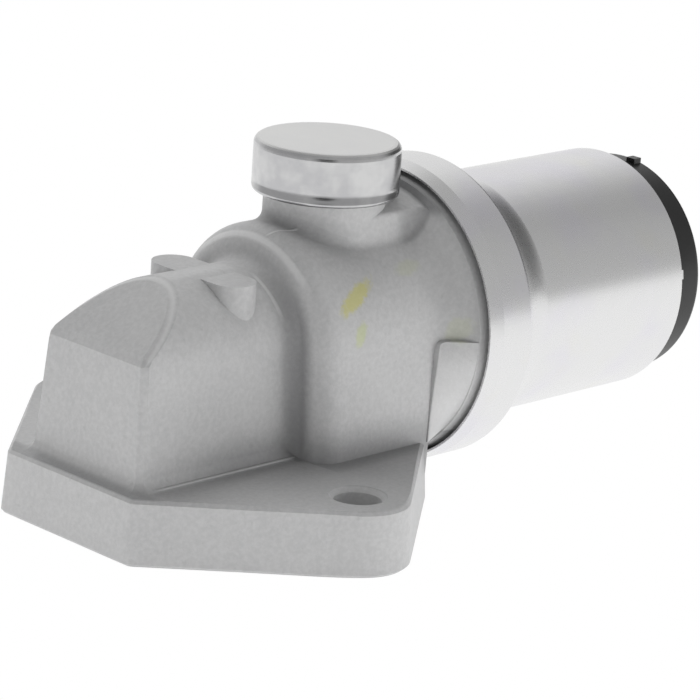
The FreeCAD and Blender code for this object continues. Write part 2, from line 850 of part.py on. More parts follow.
def main():
    os.makedirs("parts", exist_ok=True)
    nodes = {
        "valve_body": valve_body(),
        "front_port_seal": port_seal(front_port_x, front_port_r),
        "rear_port_seal": port_seal(rear_port_x, rear_port_r),
        "boss_cap": boss_cap(),
        "cap_seal": cap_seal(),
        "metering_sleeve": metering_sleeve(),
        "metering_spool": metering_spool(),
        "valve_stem": valve_stem(),
        "spool_clips": spool_clips(),
        "armature": armature(),
        "front_bush": bush(front_bush_x, front_chamber_x),
        "rear_bush": bush(rear_bush_x, rear_bush_end_x),
        "return_spring": return_spring(),
        "core_shim": core_shim(),
        "pole_core": pole_core(),
        "guide_tube": guide_tube(),
        "front_yoke": front_yoke(),
        "rear_yoke": rear_yoke(),
        "coil_bobbin": coil_bobbin(),
        "coil_winding": coil_winding(),
        "solenoid_can": solenoid_can(),
        "can_seal": can_seal(),
        "connector_body": connector_body(),
        "terminal_left": blade(1),
        "terminal_right": blade(-1),
    }
    for name, shape in nodes.items():
        shape.exportStep(f"parts/{name}.step")
        box = shape.BoundBox
        print(
            f"{name:18s} solids {len(shape.Solids)} valid {shape.isValid()} volume {shape.Volume:9.1f}"
            f" x {box.XMin:.2f}..{box.XMax:.2f} z {box.ZMin:.2f}..{box.ZMax:.2f}"
        )


main()
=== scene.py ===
# %% [markdown]
# # Idle air control valve, dressed for a studio picture
# The valve is a light-alloy casting on a flat flange, with a pressed cap on its boss and a drawn steel
# can that holds the coil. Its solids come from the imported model, with real sizes, and are never moved.
# This lesson gives every surface its finish, winds the wire parts in true form, adds two shallow forms
# to the outside, and then sets up the floor, the light and the camera. Blender's lengths are metres;
# finishes are worked out in millimetres, which are easier to read.

import math

import bpy
import numpy as np
from mathutils import Matrix, Vector


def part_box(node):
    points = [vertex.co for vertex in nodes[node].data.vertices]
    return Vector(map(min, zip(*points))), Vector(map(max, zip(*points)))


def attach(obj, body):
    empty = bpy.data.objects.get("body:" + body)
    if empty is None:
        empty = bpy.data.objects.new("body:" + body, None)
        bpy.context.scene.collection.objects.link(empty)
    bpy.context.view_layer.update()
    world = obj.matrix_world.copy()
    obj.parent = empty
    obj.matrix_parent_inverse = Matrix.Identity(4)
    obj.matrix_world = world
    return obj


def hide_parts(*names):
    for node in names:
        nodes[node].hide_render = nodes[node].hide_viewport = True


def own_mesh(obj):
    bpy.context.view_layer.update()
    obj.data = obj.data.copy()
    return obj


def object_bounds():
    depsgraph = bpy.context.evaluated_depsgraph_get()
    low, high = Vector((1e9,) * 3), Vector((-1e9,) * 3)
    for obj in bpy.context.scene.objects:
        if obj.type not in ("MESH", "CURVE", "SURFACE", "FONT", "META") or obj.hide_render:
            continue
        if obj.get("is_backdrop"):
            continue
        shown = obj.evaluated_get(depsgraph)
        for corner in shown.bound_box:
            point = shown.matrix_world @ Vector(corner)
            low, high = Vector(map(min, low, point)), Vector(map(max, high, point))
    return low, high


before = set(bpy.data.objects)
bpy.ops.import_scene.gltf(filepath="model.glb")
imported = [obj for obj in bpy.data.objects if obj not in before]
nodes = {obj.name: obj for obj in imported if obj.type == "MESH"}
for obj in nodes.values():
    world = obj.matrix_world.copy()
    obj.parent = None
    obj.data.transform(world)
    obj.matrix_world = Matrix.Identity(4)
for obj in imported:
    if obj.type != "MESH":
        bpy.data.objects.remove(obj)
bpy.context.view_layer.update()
MM = 0.001

# %% [markdown]
# ## A small language for finishes
# A finish is a formula over the surface: colour, roughness and relief as functions of the place on the
# piece. Blender stores it as nodes, which are slow to read as code. One class wraps a node's output, so
# that sums, products and powers of such values can be written as plain arithmetic, and one method adds
# any other node from its type, its settings and its inputs.


# %% Shader values as arithmetic
class Shade:
    """A number or colour that varies over a surface."""

    def __init__(self, finish, socket):
        self.finish = finish
        self.socket = socket

    def work_out(self, operation, *values):
        made = self.finish.add("ShaderNodeMath", {"operation": operation}, list(values))
        return Shade(self.finish, made.outputs[0])

    def __add__(self, other):
        return self.work_out("ADD", self, other)

    def __radd__(self, other):
        return self.work_out("ADD", other, self)

    def __sub__(self, other):
        return self.work_out("SUBTRACT", self, other)

    def __rsub__(self, other):
        return self.work_out("SUBTRACT", other, self)

    def __mul__(self, other):
        return self.work_out("MULTIPLY", self, other)

    def __rmul__(self, other):
        return self.work_out("MULTIPLY", other, self)

    def __truediv__(self, other):
        return self.work_out("DIVIDE", self, other)

    def __pow__(self, power):
        return self.work_out("POWER", self, power)

    def higher_of(self, other):
        return self.work_out("MAXIMUM", self, other)

    def size(self):
        return self.work_out("ABSOLUTE", self)

    def wave(self):
        return self.work_out("SINE", self)


# %% A finish and its nodes
class Finish:
    """One procedural material, built on the place of each point of the piece in millimetres."""

    def __init__(self, name):
        self.material = bpy.data.materials.new(name)
        self.material.use_nodes = True
        self.tree = self.material.node_tree
        self.tree.nodes.clear()
        self.surface = self.tree.nodes.new("ShaderNodeBsdfPrincipled")
        self.output = self.tree.nodes.new("ShaderNodeOutputMaterial")
        self.tree.links.new(self.surface.outputs["BSDF"], self.output.inputs["Surface"])
        place = self.tree.nodes.new("ShaderNodeTexCoord").outputs["Object"]
        in_mm = self.add("ShaderNodeVectorMath", {"operation": "SCALE"}, {0: place, "Scale": 1 / MM})
        self.place = in_mm.outputs[0]
        parts = self.add("ShaderNodeSeparateXYZ", {}, [self.place])
        self.x, self.y, self.z = (Shade(self, socket) for socket in parts.outputs)

    def add(self, kind, settings, inputs):
        """Adds a node of this type, with its settings, and fills or links its inputs."""
        made = self.tree.nodes.new(kind)
        for key, value in settings.items():
            setattr(made, key, value)
        pairs = inputs.items() if isinstance(inputs, dict) else enumerate(inputs)
        for key, value in pairs:
            value = value.socket if isinstance(value, Shade) else value
            if isinstance(value, bpy.types.NodeSocket):
                self.tree.links.new(value, made.inputs[key])
            else:
                made.inputs[key].default_value = value
        return made

    def value(self, kind, settings, inputs, output=0):
        """Adds a node and gives one of its outputs as a varying value."""
        return Shade(self, self.add(kind, settings, inputs).outputs[output])

    def grain(self, size, detail=2.0, rough=0.5, stretch=(1, 1, 1)):
        """Soft noise from 0 to 1 whose spots are about this many millimetres across."""
        along = [s / size for s in stretch]
        spot = self.add("ShaderNodeVectorMath", {"operation": "MULTIPLY"}, [self.place, along])
        inputs = {"Vector": spot.outputs[0], "Scale": 1.0, "Detail": detail, "Roughness": rough}
        return self.value("ShaderNodeTexNoise", {}, inputs)

    def between(self, value, low, high):
        """0 below low, 1 above high, and smooth from one to the other."""
        settings = {"interpolation_type": "SMOOTHSTEP"}
        return self.value("ShaderNodeMapRange", settings, {0: value, 1: low, 2: high})

    def until(self, value, low, high):
        """1 below low, 0 above high, and smooth from one to the other."""
        return 1 - self.between(value, low, high)

    def mix(self, share, first, second):
        """Colour between first and second; the share may be a number or vary."""
        first = (*first, 1.0) if isinstance(first, tuple) else first
        second = (*second, 1.0) if isinstance(second, tuple) else second
        inputs = {0: share, 6: first, 7: second}
        return self.value("ShaderNodeMix", {"data_type": "RGBA"}, inputs, 2)

    def relief(self, height, depth, under=None):
        """Bump whose height runs from 0 to 1 over this depth in millimetres."""
        inputs = {"Strength": 1.0, "Distance": depth * MM, "Height": height}
        if under is not None:
            inputs["Normal"] = under
        return self.value("ShaderNodeBump", {}, inputs)

    def paint(self, **looks):
        """Sets the surface's own inputs, each a number, a colour or a varying value."""
        names = {"colour": "Base Color", "coat": "Coat Weight"}
        for key, value in looks.items():
            socket = self.surface.inputs[names.get(key, key.capitalize())]
            if isinstance(value, Shade):
                self.tree.links.new(value.socket, socket)
            else:
                socket.default_value = (*value, 1.0) if isinstance(value, tuple) else value


def wear(piece, finish):
    """Gives a piece this one finish."""
    piece.data.materials.clear()
    piece.data.materials.append(finish.material)


# %% [markdown]
# ## Cast light alloy
# The body is a die casting, tumbled but not machined outside. Its skin is light grey, with painted shade
# in its sheltered corners and painted highlights on its edges. Those places could be painted by hand, but
# a formula fits better here: each is near some form of the casting, so it follows from a few distances to
# the nose, the barrel and the boss, which are arcs and circles with known middles and radii.

# %% Distances on the casting in millimetres
flange_top = 9.1
nose_axis_z, nose_r, nose_draft = 24.0, 10.2, 0.07
barrel_axis_z, barrel_r = 23.0, 16.0
nose_foot_half, barrel_foot_half = 11.2, 17.0
boss_x, boss_r = 18.1, 8.6
groove_x, shoulder_x, collar_x = 3.6, 4.8, 29.6
web_half, web_rear_x, web_root_z, web_top_z = 9.0, 30.0, 36.0, 39.0

cast = Finish("cast_light_alloy")


def apart(first, second):
    """Distance from the line on which both of these distances are 0."""
    return (first**2 + second**2) ** 0.5


above_nose = (cast.z - nose_axis_z).higher_of(0.0)
below_nose = (nose_axis_z - cast.z).higher_of(0.0)
off_nose = apart(cast.y, above_nose) - nose_r - below_nose * nose_draft
off_barrel = apart(cast.y, cast.z - barrel_axis_z) - barrel_r
off_boss = apart(cast.x - boss_x, cast.y) - boss_r
foot_half = nose_foot_half + (barrel_foot_half - nose_foot_half) * cast.between(cast.x, 3.5, 4.5)
off_foot = cast.y.size() - foot_half
near_groove = apart(cast.x - groove_x, off_nose - 1.2)
near_foot = apart(cast.z - flange_top, off_foot)
near_boss_foot = apart(off_boss - 0.6, off_barrel - 0.6)
print("distances to nose, barrel, boss, groove and foot")

# %% [markdown]
# ### Painted shade in corners
# Shade that falls in the corners is painted into the colour as darker skin. Each patch is 1 in its corner
# and fades out; the two numbers after a place are where its fade begins and ends, in millimetres. Added
# up, overlapping patches would turn black, so the strongest one counts.


# %% Where shade is painted
def strongest(patches):
    """The highest of some patches, each times its own strength."""
    joined = None
    for patch, strength in patches:
        strong = patch * strength
        joined = strong if joined is None else joined.higher_of(strong)
    return joined


in_groove = cast.until(near_groove, 0.3, 2.8) * cast.between(cast.z, 8.2, 9.0)
in_groove = in_groove * (1 - cast.between(cast.z, 29.0, 35.0) * 0.75)
at_collar = cast.between(cast.x, collar_x, collar_x + 1.0) * cast.between(cast.z, 14.0, 26.0)
web_end = cast.until((cast.x - web_rear_x).size(), 0.3, 1.2)
web_end = web_end * cast.between(cast.z, web_top_z, web_top_z + 1.5)
web_foot = cast.until((cast.y.size() - web_half).size(), 0.2, 0.9) * cast.between(cast.x, 23.5, 26.0)
web_foot = web_foot * cast.between(cast.z, web_root_z - 0.5, web_root_z + 0.5)
web_foot = web_foot * cast.until(cast.z, web_top_z + 1.0, web_top_z + 2.0)
front_foot = cast.between(cast.z, 8.9, 9.1) * cast.until(cast.z, 9.2, 9.9)
front_foot = front_foot * cast.until(cast.x, -24.5, -23.0)
flange_face = cast.between(cast.z, 8.9, 9.05) * cast.until(cast.z, 9.3, 9.8)
flange_face = flange_face * cast.between(cast.x, -14.0, 2.0)
nose_foot = cast.until(near_foot, 0.2, 6.0) * cast.between(cast.x, -22.0, -4.0)
boss_foot = cast.until(near_boss_foot, 0.2, 3.0) * cast.until(cast.x, 10.0, 20.0)
# painted shade: these patches darken the corners where shade falls, in the colour
painted_shade_patches = [
    (in_groove, 1.0),
    (at_collar, 0.5),
    (web_end, 1.0),
    (web_foot, 0.8),
    (front_foot, 0.7),
    (flange_face, 0.35),
    (nose_foot, 0.85),
    (boss_foot, 0.6),
]
painted_corner_shade = strongest(painted_shade_patches)
print("dull patches:", len(painted_shade_patches))

# %% [markdown]
# ### Painted highlights
# Highlights are painted on edges that stand out: the barrel's shoulder, the crown's rear edge, the foot's
# blend and the rim of the sloping facet, and along a thin line of mould flash at the boss's foot. All are
# lines a fraction of a millimetre wide, so they are drawn in colour with a slight relief. The crown pad
# and the lower neck are painted lighter as a whole, as painted light.


# %% Where highlights are painted
def thin_line(distance, half_width):
    """1 on the line where the distance is 0, and 0 beyond the half width in millimetres."""
    return cast.until(distance.size(), half_width * 0.3, half_width)


crown_rear_x, crown_z, crown_lean = 1.6, 33.5, 0.15
flash_x, flash_y, flash_slope = 6.0, -2.3, 0.35
facet_x, facet_z, facet_slope = -12.7, 33.9, 0.75
cheek_front_x, cheek_top_z, cheek_slope = 25.85, 23.4, 0.1
shoulder_line = thin_line(cast.x - shoulder_x, 0.5) * cast.between(cast.z, 31.5, 35.0)
crown_line = thin_line(cast.x - crown_rear_x - (crown_z - cast.z) * crown_lean, 0.5)
crown_line = crown_line * cast.between(cast.z, 27.5, 31.0)
crown_line = crown_line * cast.until(off_nose, 1.2, 2.0) * cast.between(cast.y.size(), 3.0, 5.0)
foot_line = thin_line(off_foot - 0.9, 0.25) * cast.between(cast.z, 8.8, 9.0)
foot_line = foot_line * cast.until(cast.z, 9.5, 10.0)
foot_line = foot_line * cast.between(cast.x, -23.0, -20.0) * cast.until(cast.x, 3.0, 4.0)
flash_line = thin_line(cast.y - flash_y + (cast.x - flash_x) * flash_slope, 0.3)
flash_line = flash_line * cast.between(cast.z, 37.0, 38.0)
flash_line = flash_line * cast.between(cast.x, 5.0, 6.0) * cast.until(cast.x, 9.3, 9.8)
above_facet = cast.z - facet_z - (cast.x - facet_x) * facet_slope
facet_rim = thin_line(off_nose + 0.15, 0.45) * thin_line(above_facet + 0.15, 0.45)
# painted highlights: each line lightens the colour where light catches an edge
highlight_lines = [
    (shoulder_line, 1.0),
    (crown_line, 1.0),
    (foot_line, 1.0),
    (flash_line, 1.0),
    (facet_rim, 0.8),
]
painted_edge_highlights = strongest(highlight_lines)
# painted light: the crown pad's top and the lower neck behind the cheek's front are painted lighter
painted_crown_light = cast.between(cast.z, 34.0, 34.4) * cast.until(cast.x, -0.5, 1.0)
behind_cheek_front = cast.x + (cheek_top_z - cast.z) * cheek_slope - cheek_front_x
painted_neck_light = cast.between(behind_cheek_front, 0.0, 0.3) * cast.between(cast.z, 8.9, 9.2)
painted_neck_light = painted_neck_light * cast.until(cast.z, 19.0, 23.2)
print("bright lines:", len(highlight_lines))

# %% [markdown]
# ### Worn paint
# A worn dab of yellow inspection paint crosses the barrel beside the boss, with fainter traces below
# and behind it. Each trace is a stretched spot whose edge has to look chipped, so noise is added to the
# distance from its middle.


# %% Paint marks
def paint_trace(middle_x, middle_z, across, along, lean):
    """1 on a worn mark seen from the -Y side, 0 off it; sizes in millimetres, lean in degrees."""
    turn = math.radians(lean)
    from_x, from_z = cast.x - middle_x, cast.z - middle_z
    run = from_x * math.cos(turn) + from_z * math.sin(turn)
    side = from_z * math.cos(turn) - from_x * math.sin(turn)
    off_middle = apart(run / along, side / across)
    chips = (cast.grain(0.9, 3.0, 0.7) - 0.5) * 1.1
    return cast.until(off_middle + chips, 0.55, 1.15) * cast.between(0 - cast.y, 2.0, 4.0)


paint_marks = [
    (paint_trace(11.6, 31.1, 1.15, 4.2, 26), 0.60, (0.52, 0.49, 0.09)),
    (paint_trace(11.3, 26.4, 1.1, 1.8, 60), 0.42, (0.46, 0.52, 0.16)),
    (paint_trace(23.0, 33.4, 1.0, 2.6, 5), 0.20, (0.46, 0.50, 0.22)),
    (paint_trace(28.5, 24.9, 1.4, 2.2, 70), 0.20, (0.46, 0.50, 0.22)),
]
print("paint marks:", len(paint_marks))

# %% [markdown]
# ### The whole skin
# The bare skin has a fine, slightly sparkling grain, faint cloudy patches where the metal chilled at
# different speeds, and small pits. Up close the grain is what makes it read as cast, so it is in the
# relief as well as in the colour. The painted shade, painted light, painted highlights and paint marks
# are laid over it one after the other.

# %% Cast finish
cloud = cast.grain(9.0, 3.0)
sand = cast.grain(0.7, 3.0, 0.65)
fine = cast.grain(0.28, 2.0, 0.6)
pit = cast.until(cast.grain(1.5, 1.0), 0.25, 0.32)
alloy = cast.mix(cloud, (0.42, 0.42, 0.425), (0.485, 0.485, 0.485))
skin_layers = [
    (cast.between(sand, 0.3, 0.75), 0.35, (0.62, 0.62, 0.62)),
    (pit, 0.10, (0.22, 0.22, 0.22)),
    # painted shade in corners, then painted light on the crown pad and lower neck, then painted
    # highlights
    (painted_corner_shade, 0.55, (0.13, 0.13, 0.135)),
    (painted_crown_light.higher_of(painted_neck_light), 0.45, (0.70, 0.70, 0.70)),
    (painted_edge_highlights, 0.50, (0.74, 0.74, 0.74)),
]
for patch, strength, colour in skin_layers + paint_marks:
    alloy = cast.mix(patch * strength, alloy, colour)
grain_relief = cast.relief(sand * 0.6 + fine * 0.4 - pit * 0.3, 0.045)
cast.paint(
    colour=alloy,
    metallic=0.25,
    roughness=0.5 + 0.14 * fine,
    normal=cast.relief(painted_edge_highlights, 0.12, grain_relief),
)
wear(nodes["valve_body"], cast)
print("cast finish in layers:", len(skin_layers) + len(paint_marks))

# %% [markdown]
# ## Zinc on drawn steel
# The can is deep-drawn sheet with bright zinc on it. Drawing leaves faint lines along the can, and the
# passivated zinc has a very thin film that tints it violet and straw in weak patches. The metal is
# nearly a mirror, so what shows is mostly the room: roughness is kept low, and the drawing lines are
# noise that is stretched along the axis.

# %% Zinc finish
zinc = Finish("bright_zinc")
draw_lines = zinc.grain(0.5, 2.0, 0.6, (0.03, 1, 1))
blush = zinc.grain(11.0, 2.0)
straw = zinc.grain(7.0, 2.0)
handled = zinc.grain(2.2, 4.0, 0.7)
zinc_colour = zinc.mix(zinc.between(blush, 0.45, 0.75) * 0.5, (0.80, 0.80, 0.80), (0.76, 0.74, 0.82))
zinc_colour = zinc.mix(zinc.between(straw, 0.55, 0.8) * 0.3, zinc_colour, (0.80, 0.79, 0.72))
zinc.paint(
    colour=zinc_colour,
    metallic=1.0,
    roughness=0.20 + 0.10 * handled + 0.05 * draw_lines,
    normal=zinc.relief(draw_lines * 0.7 + handled * 0.3, 0.004),
)
wear(nodes["solenoid_can"], zinc)
print("zinc finish ready")

# %% [markdown]
# ## The pressed cap
# The cap is a shallow cup pressed from plated sheet and rolled in under the boss head. Its top has the
# soft satin of the blank and its side was smoothed by the die, so roughness changes from the side to the
# flat top; its colour is painted lighter on the top and darker on the side, as painted light and shade.
# Fine rings from the rolling tool run round the side, and just above the rim the pressed side swells very
# slightly, which is relief in the finish.

# %% Cap finish
cap = Finish("pressed_plate")
cap_low, cap_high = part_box("boss_cap")
cap_foot, cap_top = cap_low.z / MM, cap_high.z / MM
wave_per_mm = 16.0  # radians in each millimetre, so one ring every 0.4 mm
flat_top = cap.between(cap.z, cap_top - 0.35, cap_top - 0.05)
swell = cap.until(cap.z, cap_foot + 0.3, cap_foot + 2.2)
rings = ((cap.z + cap.grain(3.0) * 0.15) * wave_per_mm).wave() * 0.5 + 0.5
satin = cap.grain(0.35, 2.0, 0.6)
handled_cap = cap.grain(6.0, 3.0, 0.6)
# painted light and shade: the side is painted darker and the flat top lighter
painted_shade_side = cap.mix(cap.between(handled_cap, 0.35, 0.65), (0.52, 0.52, 0.53), (0.64, 0.64, 0.64))
painted_light_top = cap.mix(handled_cap, (0.78, 0.78, 0.78), (0.84, 0.84, 0.83))
ring_relief = cap.relief(rings * (1 - flat_top), 0.003)
rim_relief = cap.relief(swell * swell, 0.5, ring_relief)
cap.paint(
    colour=cap.mix(flat_top, painted_shade_side, painted_light_top),
    metallic=1.0,
    roughness=0.20 + 0.20 * flat_top + 0.05 * satin,
    normal=cap.relief(satin * flat_top, 0.006, rim_relief),
)
wear(nodes["boss_cap"], cap)
print("cap finish from", round(cap_foot, 1), "to", round(cap_top, 1), "mm")

# %% [markdown]
# ## Black moulding
# The connector end is glass-filled nylon. It is a very dark grey rather than black, with a soft sheen
# and a fine grain from the tool's skin. Handling leaves slightly smoother patches.

# %% Moulding finish
moulding = Finish("black_nylon")
skin = moulding.grain(0.22, 2.0, 0.6)
touch = moulding.grain(4.0, 3.0)
moulding.paint(
    colour=moulding.mix(touch, (0.006, 0.006, 0.006), (0.013, 0.013, 0.013)),
    roughness=0.26 + 0.12 * touch + 0.06 * skin,
    normal=moulding.relief(skin, 0.012),
)
wear(nodes["connector_body"], moulding)
print("moulding finish ready")

# %% [markdown]
# ## Metals and rubber inside
# Inside are turned steel, soft iron, bronze, brass, copper wire and moulded plastic. A turned piece
# shows fine feed marks round its axis, so its grain is a wave along the axis. One function makes such a
# finish from its colour, its roughness and the pitch of its marks, and each piece gets its own.


# %% Turned and drawn metal finishes
def turned_metal(name, colour, dark, roughness, pitch):
    """Metal turned about the valve's axis, with feed marks at this pitch in millimetres."""
    made = Finish(name)
    patch = made.grain(3.0, 3.0)
    feed = ((made.x + made.grain(2.0) * 0.1) * (2 * math.pi / pitch)).wave() * 0.5 + 0.5
    rub = made.grain(0.5, 2.0, 0.6)
    made.paint(
        colour=made.mix(patch, dark, colour),
        metallic=1.0,
        roughness=roughness + 0.08 * rub,
        normal=made.relief(feed * 0.6 + rub * 0.4, 0.003),
    )
    return made


turned_pieces = {
    "metering_sleeve": ("honed_steel", (0.58, 0.58, 0.60), (0.50, 0.50, 0.52), 0.26, 0.30),
    "metering_spool": ("spool_alloy_skin", (0.70, 0.70, 0.69), (0.62, 0.62, 0.61), 0.30, 0.25),
    "valve_stem": ("ground_steel", (0.66, 0.66, 0.67), (0.60, 0.60, 0.61), 0.16, 0.12),
    "spool_clips": ("blued_spring_steel", (0.22, 0.22, 0.25), (0.15, 0.15, 0.18), 0.35, 0.40),
    "armature": ("soft_iron_skin", (0.42, 0.42, 0.43), (0.34, 0.34, 0.35), 0.32, 0.35),
    "front_bush": ("sintered_bronze", (0.62, 0.42, 0.20), (0.50, 0.33, 0.15), 0.40, 0.50),
    "rear_bush": ("sintered_bronze_rear", (0.62, 0.42, 0.20), (0.50, 0.33, 0.15), 0.40, 0.50),
    "core_shim": ("shim_brass_skin", (0.78, 0.62, 0.30), (0.70, 0.54, 0.25), 0.28, 0.60),
    "pole_core": ("core_iron_skin", (0.44, 0.44, 0.45), (0.35, 0.35, 0.36), 0.34, 0.35),
    "guide_tube": ("drawn_tube_steel", (0.64, 0.63, 0.61), (0.56, 0.55, 0.54), 0.24, 0.80),
    "front_yoke": ("yoke_steel_skin", (0.50, 0.50, 0.51), (0.42, 0.42, 0.43), 0.36, 0.45),
    "rear_yoke": ("yoke_steel_rear", (0.50, 0.50, 0.51), (0.42, 0.42, 0.43), 0.36, 0.45),
    "terminal_left": ("tinned_blade", (0.78, 0.77, 0.74), (0.70, 0.69, 0.67), 0.22, 0.90),
    "terminal_right": ("tinned_blade_right", (0.78, 0.77, 0.74), (0.70, 0.69, 0.67), 0.22, 0.90),
}
for piece, looks in turned_pieces.items():
    wear(nodes[piece], turned_metal(*looks))
print("turned finishes:", len(turned_pieces))

# %% [markdown]
# Rubber and plain nylon have no metal in them: a matt skin, a faint bloom in large soft patches, and
# the tool's grain. They differ only in colour, roughness and grain, so one function makes both.


# %% Rubber and bobbin finishes
def matt_moulding(name, colour, light, roughness, spot):
    """Rubber or plastic with a matt skin whose grain is this many millimetres across."""
    made = Finish(name)
    skin_grain = made.grain(spot, 2.0, 0.6)
    bloom = made.grain(5.0, 3.0)
    made.paint(
        colour=made.mix(bloom, colour, light),
        roughness=roughness + 0.12 * bloom,
        normal=made.relief(skin_grain, 0.015),
    )
    return made


rubber = matt_moulding("black_rubber", (0.010, 0.010, 0.010), (0.020, 0.020, 0.020), 0.55, 0.30)
for piece in ("can_seal", "cap_seal", "front_port_seal", "rear_port_seal"):
    wear(nodes[piece], rubber)
natural = matt_moulding("natural_nylon", (0.58, 0.52, 0.40), (0.66, 0.61, 0.50), 0.42, 0.40)
wear(nodes["coil_bobbin"], natural)
print("rubber and bobbin finishes ready")

# %% [markdown]
# ## Surfaces from formulas
# The new pieces are surfaces with a formula: a grid of points, with one parameter along its rows and
# one round its columns. Whole arrays are worked out at once, which is quick and keeps the formula
# visible. A profile that is turned about the valve's axis comes up twice, so it has its own function.


# %% Meshes from grids
def grid_mesh(name, points, caps=False):
    """Mesh of a grid of points, closed round its columns; caps closes the first and last row."""
    rows, cols = points.shape[:2]
    here = np.arange(rows * cols).reshape(rows, cols)
    beside = np.roll(here, -1, 1)
    quads = np.stack([here[:-1], beside[:-1], beside[1:], here[1:]], -1).reshape(-1, 4)
    faces = quads.tolist()
    if caps:
        faces.append(here[0, ::-1].tolist())
        faces.append(here[-1].tolist())
    mesh = bpy.data.meshes.new(name)
    mesh.from_pydata(points.reshape(-1, 3).tolist(), [], faces)
    mesh.polygons.foreach_set("use_smooth", np.ones(len(faces), bool))
    made = bpy.data.objects.new(name, mesh)
    bpy.context.scene.collection.objects.link(made)
    print(name, "faces:", len(faces))
    return made


def turned_grid(profile_x, profile_r, axis_z, round_steps):
    """Profile x(s), r(s) turned about the axis: (x, r cos a, axis_z + r sin a), a from 0 to 2 pi."""
    a = np.linspace(0, 2 * np.pi, round_steps, endpoint=False)
    x = np.repeat(profile_x[:, None], round_steps, 1)
    y = profile_r[:, None] * np.cos(a)
    z = axis_z + profile_r[:, None] * np.sin(a)
    return np.stack([x, y, z], -1)


# %% [markdown]
# ## Return spring in round wire
# The solid of the spring has a many-sided wire. Its shown form is a tube along a helix: one parameter
# runs along the wire and one round it. The first and last turn of a wound spring close up and lie
# almost flat, so the pitch is small there and grows in the middle.


# %% Wind the spring
def helix_wire(x0, x1, mean_r, wire_r, turns, axis_z, round_steps=14, turn_steps=40):
    """Round wire along (x(t), r cos a, axis_z + r sin a) with a = 2 pi turns t, t from 0 to 1.

    x(t) = x0 + (x1 - x0) (t - 0.8 sin(2 pi t) / (2 pi)); the section is a circle of wire_r about it,
    square to the wire, whose slant is x'(t) / (mean_r a'(t)).
    """
    easing = 0.8
    t = np.linspace(0, 1, int(turns * turn_steps) + 1)[:, None]
    b = np.linspace(0, 2 * np.pi, round_steps, endpoint=False)[None, :]
    angle = 2 * np.pi * turns * t
    along = x0 + (x1 - x0) * (t - easing * np.sin(2 * np.pi * t) / (2 * np.pi))
    slant = np.gradient(along[:, 0])[:, None] / (mean_r * np.gradient(angle[:, 0])[:, None])
    level = 1 / np.sqrt(1 + slant**2)
    radius = mean_r + wire_r * np.cos(b)
    x = along + wire_r * np.sin(b) * level
    turn = angle - wire_r * np.sin(b) * slant * level / mean_r
    return np.stack([x, radius * np.cos(turn), axis_z + radius * np.sin(turn)], -1)


low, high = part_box("return_spring")
valve_axis = (low.z + high.z) / 2
wire_r = 0.35 * MM
mean_r = (high.z - low.z) / 2 - wire_r
spring_turns = 8.0
wound = helix_wire(low.x + wire_r, high.x - wire_r, mean_r, wire_r, spring_turns, valve_axis)
spring = grid_mesh("return_spring_wire", wound, caps=True)
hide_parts("return_spring")
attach(spring, "housing")
wear(spring, turned_metal("spring_wire", (0.40, 0.40, 0.42), (0.32, 0.32, 0.34), 0.22, 0.2))
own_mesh(spring)

# %% [markdown]
# ## Copper winding
# The coil is enamelled wire laid in neat layers, and only its outer layer can be seen. A turned profile
# with one bump for each turn of wire gives that layer at little cost. The wire really steps sideways by
# one turn each time round, which is far too small to see.


# %% Wind the coil
def wound_layer(x0, x1, inner_r, outer_r, turns, axis_z, round_steps=72, bump_steps=6):
    """Turned surface with radius outer_r - 0.35 w (1 - |sin(pi s)| ** 0.6) over s turns of width w.

    The inner bore closes it.
    """
    gap_depth, roundness = 0.35, 0.6
    wire = (x1 - x0) / turns
    s = np.linspace(0, turns, turns * bump_steps + 1)
    crest = outer_r - wire * gap_depth * (1 - np.abs(np.sin(np.pi * s)) ** roundness)
    profile_x = np.concatenate([x0 + s * wire, [x1, x0, x0]])
    profile_r = np.concatenate([crest, [inner_r, inner_r, crest[0]]])
    return turned_grid(profile_x, profile_r, axis_z, round_steps)


low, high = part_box("coil_winding")
winding_outer = (high.z - low.z) / 2
bore_low, bore_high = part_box("guide_tube")
bobbin_wall = 1.25 * MM
winding_inner = (bore_high.z - bore_low.z) / 2 + bobbin_wall
wire_turns = 58
layer = wound_layer(low.x, high.x, winding_inner, winding_outer, wire_turns, valve_axis)
coil = grid_mesh("coil_wire_layer", layer)
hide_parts("coil_winding")
enamel = Finish("enamelled_copper")
tone = enamel.grain(4.0, 2.0)
enamel.paint(
    colour=enamel.mix(tone, (0.55, 0.16, 0.05), (0.66, 0.24, 0.09)),
    metallic=0.8,
    roughness=0.28 + 0.1 * tone,
    coat=0.5,
    normal=enamel.relief(enamel.grain(0.4), 0.01),
)
wear(coil, enamel)
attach(coil, "housing")

# %% [markdown]
# ## Soft end of the can's hollow neck
# Behind its crimped ring the can is drawn in through a hollow neck, and that neck doesn't stop at the
# tube: it runs out over a few millimetres in a long shallow slope, which mirrors the darker part of the
# room as a crescent. The slope is a turned sleeve of the same plated sheet, sunk in the can's wall at
# both ends, so that no edge shows.


# %% Run out the neck
def neck_sleeve(x0, level_x, x1, start_r, end_r, inner_r, axis_z, round_steps=180, along_steps=32):
    """Turned surface: radius end_r + (start_r - end_r) (1 - u^2 (3 - 2 u)) with u from 0 to 1 along x.

    The slope runs from level_x to x1, after a level part from x0, and the inner bore closes it.
    """
    u = np.linspace(0, 1, along_steps)
    slope_x = level_x + (x1 - level_x) * u
    slope_r = end_r + (start_r - end_r) * (1 - u**2 * (3 - 2 * u))
    profile_x = np.concatenate([[x0], slope_x, [x1, x0, x0]])
    profile_r = np.concatenate([[start_r], slope_r, [inner_r, inner_r, start_r]])
    return turned_grid(profile_x, profile_r, axis_z, round_steps)


